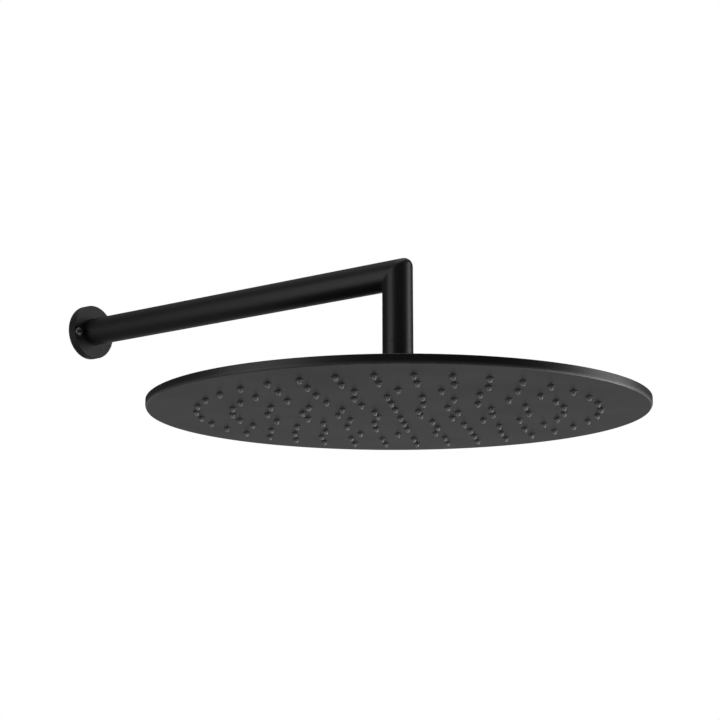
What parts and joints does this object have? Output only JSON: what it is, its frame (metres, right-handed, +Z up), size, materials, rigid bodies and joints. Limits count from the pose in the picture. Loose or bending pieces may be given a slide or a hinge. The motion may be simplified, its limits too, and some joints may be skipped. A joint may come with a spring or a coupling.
{
  "type": "rain shower head",
  "caption": "Thin round rain shower head with rings of silicone nozzles, hung by a ball joint from a mitred tube arm with a round screwed wall flange, all in matt black.",
  "frame": {"origin": "centre of the wall flange's back, on the axis of the arm and of its wall thread", "axes": "the wall is the plane Y = 0, +Y goes into the wall, the arm runs out along -Y, +Z is up and the spray face looks down"},
  "size_m": [0.3999, 0.57, 0.1424],
  "materials": {
    "black_coat": "matt black coat",
    "union_coat": "matt black coat on brass",
    "screw_steel": "dark steel",
    "nipple_brass": "bare turned brass",
    "seal_rubber": "matt black rubber",
    "ring_plastic": "off-white plastic",
    "nozzle_silicone": "dark grey silicone"
  },
  "bodies": {
    "arm": {"wall_flange": "black_coat", "flange_screws": "screw_steel", "thread_nipples": "nipple_brass", "shower_arm": "black_coat", "filter_washer": "seal_rubber", "ball_union": "union_coat"},
    "slip": {"ball_slip_ring": "ring_plastic"},
    "head": {"ball_seat_seal": "seal_rubber", "swivel_collar": "black_coat", "head_back_plate": "black_coat", "nozzle_mat": "nozzle_silicone", "spray_face_pan": "black_coat"}
  },
  "joints": [
    {"name": "head_swivel", "type": "hinge", "parent": "arm", "child": "slip", "pos_m": [0, -0.36, -0.088], "axis": [0, 0, 1], "continuous": true},
    {"name": "head_tilt", "type": "hinge", "parent": "slip", "child": "head", "pos_m": [0, -0.36, -0.088], "axis": [1, 0, 0], "range_deg": [-12, 12]}
  ]
}
